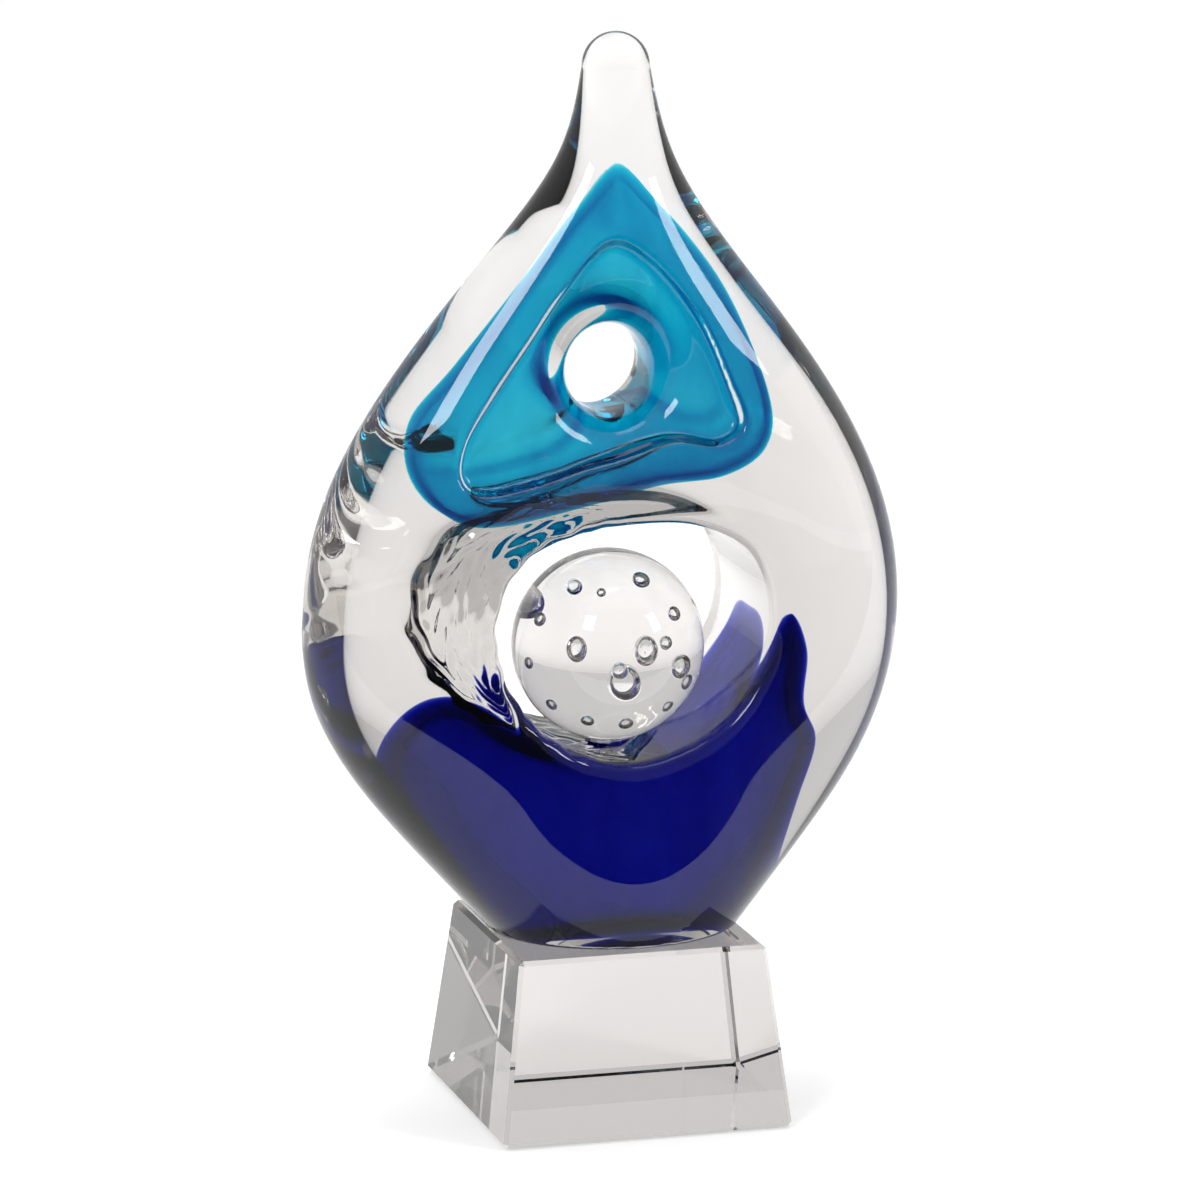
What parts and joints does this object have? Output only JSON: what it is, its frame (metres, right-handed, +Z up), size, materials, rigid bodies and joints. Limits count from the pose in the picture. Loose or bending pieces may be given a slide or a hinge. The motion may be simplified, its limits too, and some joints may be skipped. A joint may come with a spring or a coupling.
{
  "type": "crystal award",
  "caption": "Free-standing art-glass teardrop award with aqua and cobalt cased colour, a bubbled glass ball in its larger hole, and a tapered clear crystal block under it.",
  "frame": {"origin": "centre of the crystal block's underside", "axes": "+Z up through the tip, -Y the front face, +X to the viewer's right; X is the teardrop's width and Y its depth"},
  "size_m": [0.1638, 0.08, 0.2898],
  "materials": {
    "block_crystal": "cut and polished optical crystal",
    "clear_glass": "fire-polished clear glass",
    "aqua_glass": "transparent aqua glass, cased",
    "cobalt_glass": "transparent cobalt glass, cased",
    "bubble_glass": "clear glass with air bubbles",
    "uv_adhesive": "cured clear UV adhesive"
  },
  "bodies": {
    "root": {"base_block": "block_crystal", "clear_casing": "clear_glass", "aqua_core": "aqua_glass", "cobalt_core": "cobalt_glass", "bubble_ball": "bubble_glass", "ball_bond": "uv_adhesive", "foot_bond": "uv_adhesive"}
  },
  "joints": []
}
